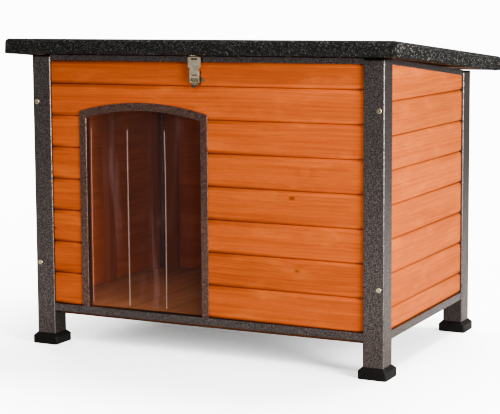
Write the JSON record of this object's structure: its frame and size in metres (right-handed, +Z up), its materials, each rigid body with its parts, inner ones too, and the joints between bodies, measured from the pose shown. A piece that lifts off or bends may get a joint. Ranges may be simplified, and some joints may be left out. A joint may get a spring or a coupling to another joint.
{
  "type": "dog house",
  "caption": "Raised dog house with steel posts and rails, plank walls, arched door with a clear slit curtain, latched and hinged felt roof.",
  "frame": {"origin": "on the ground, under the middle of the roof, which is the widest and deepest piece", "axes": "+Z up, +X to the right seen from the front, -Y out of the door; the posts stand from y = -0.276 m (front) to y = 0.224 m (back)"},
  "size_m": [0.85, 0.6417, 0.6319],
  "materials": {
    "frame_steel": "hammered textured powder coat, dark brown-grey",
    "door_steel": "hammered textured powder coat, dark brown-grey",
    "cap_plastic": "moulded, satin black",
    "foot_plastic": "moulded, satin black",
    "frame_screw_steel": "zinc plated button heads",
    "front_wood": "stained and oiled softwood",
    "side_wood": "stained and oiled softwood",
    "back_wood": "stained and oiled softwood",
    "batten_wood": "stained softwood, sawn",
    "floor_wood": "stained softwood",
    "roof_wood": "stained softwood",
    "mineral_felt": "bitumen felt with dark mineral grit and a few light grains",
    "nail_steel": "galvanised",
    "clear_vinyl": "clear soft vinyl sheet",
    "clamp_steel": "galvanised flat bar",
    "small_screw_steel": "zinc plated",
    "hinge_steel": "zinc plated",
    "latch_zinc": "yellow-tinted zinc plate"
  },
  "bodies": {
    "house": {"back_battens": "batten_wood", "back_boards": "back_wood", "back_bottom_rail": "frame_steel", "back_top_rail": "frame_steel", "curtain_clamp_bar": "clamp_steel", "curtain_head": "clear_vinyl", "curtain_screws": "small_screw_steel", "door_arch": "door_steel", "door_jamb_left": "door_steel", "door_jamb_right": "door_steel", "floor_bearers": "floor_wood", "floor_boards": "floor_wood", "foot_back_left": "foot_plastic", "foot_back_right": "foot_plastic", "foot_front_left": "foot_plastic", "foot_front_right": "foot_plastic", "frame_hardware_screws": "small_screw_steel", "frame_screws": "frame_screw_steel", "front_battens": "batten_wood", "front_boards_arch": "front_wood", "front_boards_left": "front_wood", "front_boards_right": "front_wood", "front_boards_top": "front_wood", "front_bottom_rail": "frame_steel", "front_top_rail": "frame_steel", "hinge_left_frame_leaf": "hinge_steel", "hinge_right_frame_leaf": "hinge_steel", "latch_base": "latch_zinc", "latch_lever_pin": "latch_zinc", "left_battens": "batten_wood", "left_boards": "side_wood", "left_bottom_rail": "frame_steel", "left_top_rail": "frame_steel", "post_back_left": "frame_steel", "post_back_right": "frame_steel", "post_caps": "cap_plastic", "post_front_left": "frame_steel", "post_front_right": "frame_steel", "right_battens": "batten_wood", "right_boards": "side_wood", "right_bottom_rail": "frame_steel", "right_top_rail": "frame_steel"},
    "roof": {"roof_boards": "roof_wood", "roof_cleats": "batten_wood", "roof_felt": "mineral_felt", "roof_nails": "nail_steel", "roof_hardware_screws": "small_screw_steel", "hinge_left_roof_leaf": "hinge_steel", "hinge_right_roof_leaf": "hinge_steel", "hinge_left_pin": "hinge_steel", "hinge_right_pin": "hinge_steel", "latch_catch": "latch_zinc"},
    "latch_lever": {"latch_lever": "latch_zinc"},
    "latch_strap": {"latch_strap": "latch_zinc", "latch_strap_pin": "latch_zinc"},
    "curtain_strip_left": {"curtain_strip_left": "clear_vinyl"},
    "curtain_strip_middle": {"curtain_strip_middle": "clear_vinyl"},
    "curtain_strip_right": {"curtain_strip_right": "clear_vinyl"}
  },
  "joints": [
    {"name": "roof_lift", "type": "hinge", "parent": "house", "child": "roof", "pos_m": [0, 0.2249, 0.55837], "axis": [-1, 0, 0], "range_deg": [0, 85]},
    {"name": "latch_lever_swing", "type": "hinge", "parent": "house", "child": "latch_lever", "pos_m": [-0.0065, -0.2756, 0.5635], "axis": [-1, 0, 0], "range_deg": [0, 80]},
    {"name": "latch_strap_swing", "type": "hinge", "parent": "latch_lever", "child": "latch_strap", "pos_m": [-0.0065, -0.2776, 0.5495], "axis": [1, 0, 0], "range_deg": [0, 130]},
    {"name": "curtain_left_swing", "type": "hinge", "parent": "house", "child": "curtain_strip_left", "pos_m": [-0.21533, -0.2581, 0.4487], "axis": [1, 0, 0], "range_deg": [-80, 80]},
    {"name": "curtain_middle_swing", "type": "hinge", "parent": "house", "child": "curtain_strip_middle", "pos_m": [-0.13, -0.2581, 0.4487], "axis": [1, 0, 0], "range_deg": [-80, 80]},
    {"name": "curtain_right_swing", "type": "hinge", "parent": "house", "child": "curtain_strip_right", "pos_m": [-0.04467, -0.2581, 0.4487], "axis": [1, 0, 0], "range_deg": [-80, 80]}
  ],
  "couplings": [
    {"joint": "latch_strap_swing", "follows": "latch_lever_swing", "ratio": 1.6}
  ]
}
